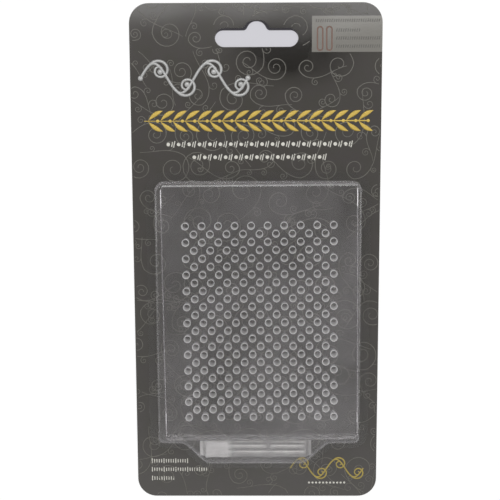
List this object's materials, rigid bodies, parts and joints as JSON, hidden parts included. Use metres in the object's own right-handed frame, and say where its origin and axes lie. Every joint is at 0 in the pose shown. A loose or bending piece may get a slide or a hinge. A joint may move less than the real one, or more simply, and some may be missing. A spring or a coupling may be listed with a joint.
{
  "type": "wire jig",
  "caption": "Clear drilled jig plate for bending wire, with loose steel pegs in a pouch, under a clear formed blister on a stiff two-ply hanging card with a humped slot.",
  "frame": {"origin": "middle of the card's back face, which the pack lies on", "axes": "+Y up the card to the hang slot, +Z out of the printed face"},
  "size_m": [0.096, 0.1954, 0.0082],
  "materials": {
    "plain_board": "uncoated back, dark at the slot",
    "printed_board": "gloss varnish over a dark print",
    "clear_film": "clear, formed, glossy",
    "clear_acrylic": "clear, polished, drilled",
    "milky_polythene": "milky film",
    "steel_rod": "ground rod"
  },
  "bodies": {
    "card": {"back_card": "plain_board", "front_card": "printed_board"},
    "blister": {"blister_shell": "clear_film"},
    "plate": {"jig_plate": "clear_acrylic"},
    "bag": {"peg_bag": "milky_polythene"},
    "rod_01": {"peg_01": "steel_rod"},
    "rod_02": {"peg_02": "steel_rod"},
    "rod_03": {"peg_03": "steel_rod"},
    "rod_04": {"peg_04": "steel_rod"},
    "rod_05": {"peg_05": "steel_rod"},
    "rod_06": {"peg_06": "steel_rod"},
    "rod_07": {"peg_07": "steel_rod"},
    "rod_08": {"peg_08": "steel_rod"},
    "rod_09": {"peg_09": "steel_rod"},
    "rod_10": {"peg_10": "steel_rod"}
  },
  "joints": [
    {"name": "blister_peel", "type": "hinge", "parent": "card", "child": "blister", "pos_m": [0, 0.03377, 0.0012], "axis": [-1, 0, 0], "range_deg": [0, 110]},
    {"name": "plate_lift", "type": "slide", "parent": "card", "child": "plate", "axis": [0, 0, 1], "range_m": [0, 0.0115]},
    {"name": "bag_lift", "type": "slide", "parent": "card", "child": "bag", "axis": [0, 0, 1], "range_m": [0, 0.0185]},
    {"name": "rod_01_slide", "type": "slide", "parent": "bag", "child": "rod_01", "axis": [1, 0, 0], "range_m": [-0.01, 0.0009]},
    {"name": "rod_02_slide", "type": "slide", "parent": "bag", "child": "rod_02", "axis": [1, 0, 0], "range_m": [-0.01, 0.0009]},
    {"name": "rod_03_slide", "type": "slide", "parent": "bag", "child": "rod_03", "axis": [1, 0, 0], "range_m": [-0.01, 0.0009]},
    {"name": "rod_04_slide", "type": "slide", "parent": "bag", "child": "rod_04", "axis": [1, 0, 0], "range_m": [-0.01, 0.0009]},
    {"name": "rod_05_slide", "type": "slide", "parent": "bag", "child": "rod_05", "axis": [1, 0, 0], "range_m": [-0.01, 0.0009]},
    {"name": "rod_06_slide", "type": "slide", "parent": "bag", "child": "rod_06", "axis": [1, 0, 0], "range_m": [-0.0003, 0.0002]},
    {"name": "rod_07_slide", "type": "slide", "parent": "bag", "child": "rod_07", "axis": [1, 0, 0], "range_m": [-0.0003, 0.0002]},
    {"name": "rod_08_slide", "type": "slide", "parent": "bag", "child": "rod_08", "axis": [1, 0, 0], "range_m": [-0.0003, 0.0002]},
    {"name": "rod_09_slide", "type": "slide", "parent": "bag", "child": "rod_09", "axis": [1, 0, 0], "range_m": [-0.0003, 0.0002]},
    {"name": "rod_10_slide", "type": "slide", "parent": "bag", "child": "rod_10", "axis": [1, 0, 0], "range_m": [-0.0003, 0.0002]}
  ],
  "couplings": [
    {"joint": "blister_peel", "follows": "plate_lift", "rad_per_m": 166.9},
    {"joint": "bag_lift", "follows": "plate_lift", "ratio": 1.6}
  ]
}
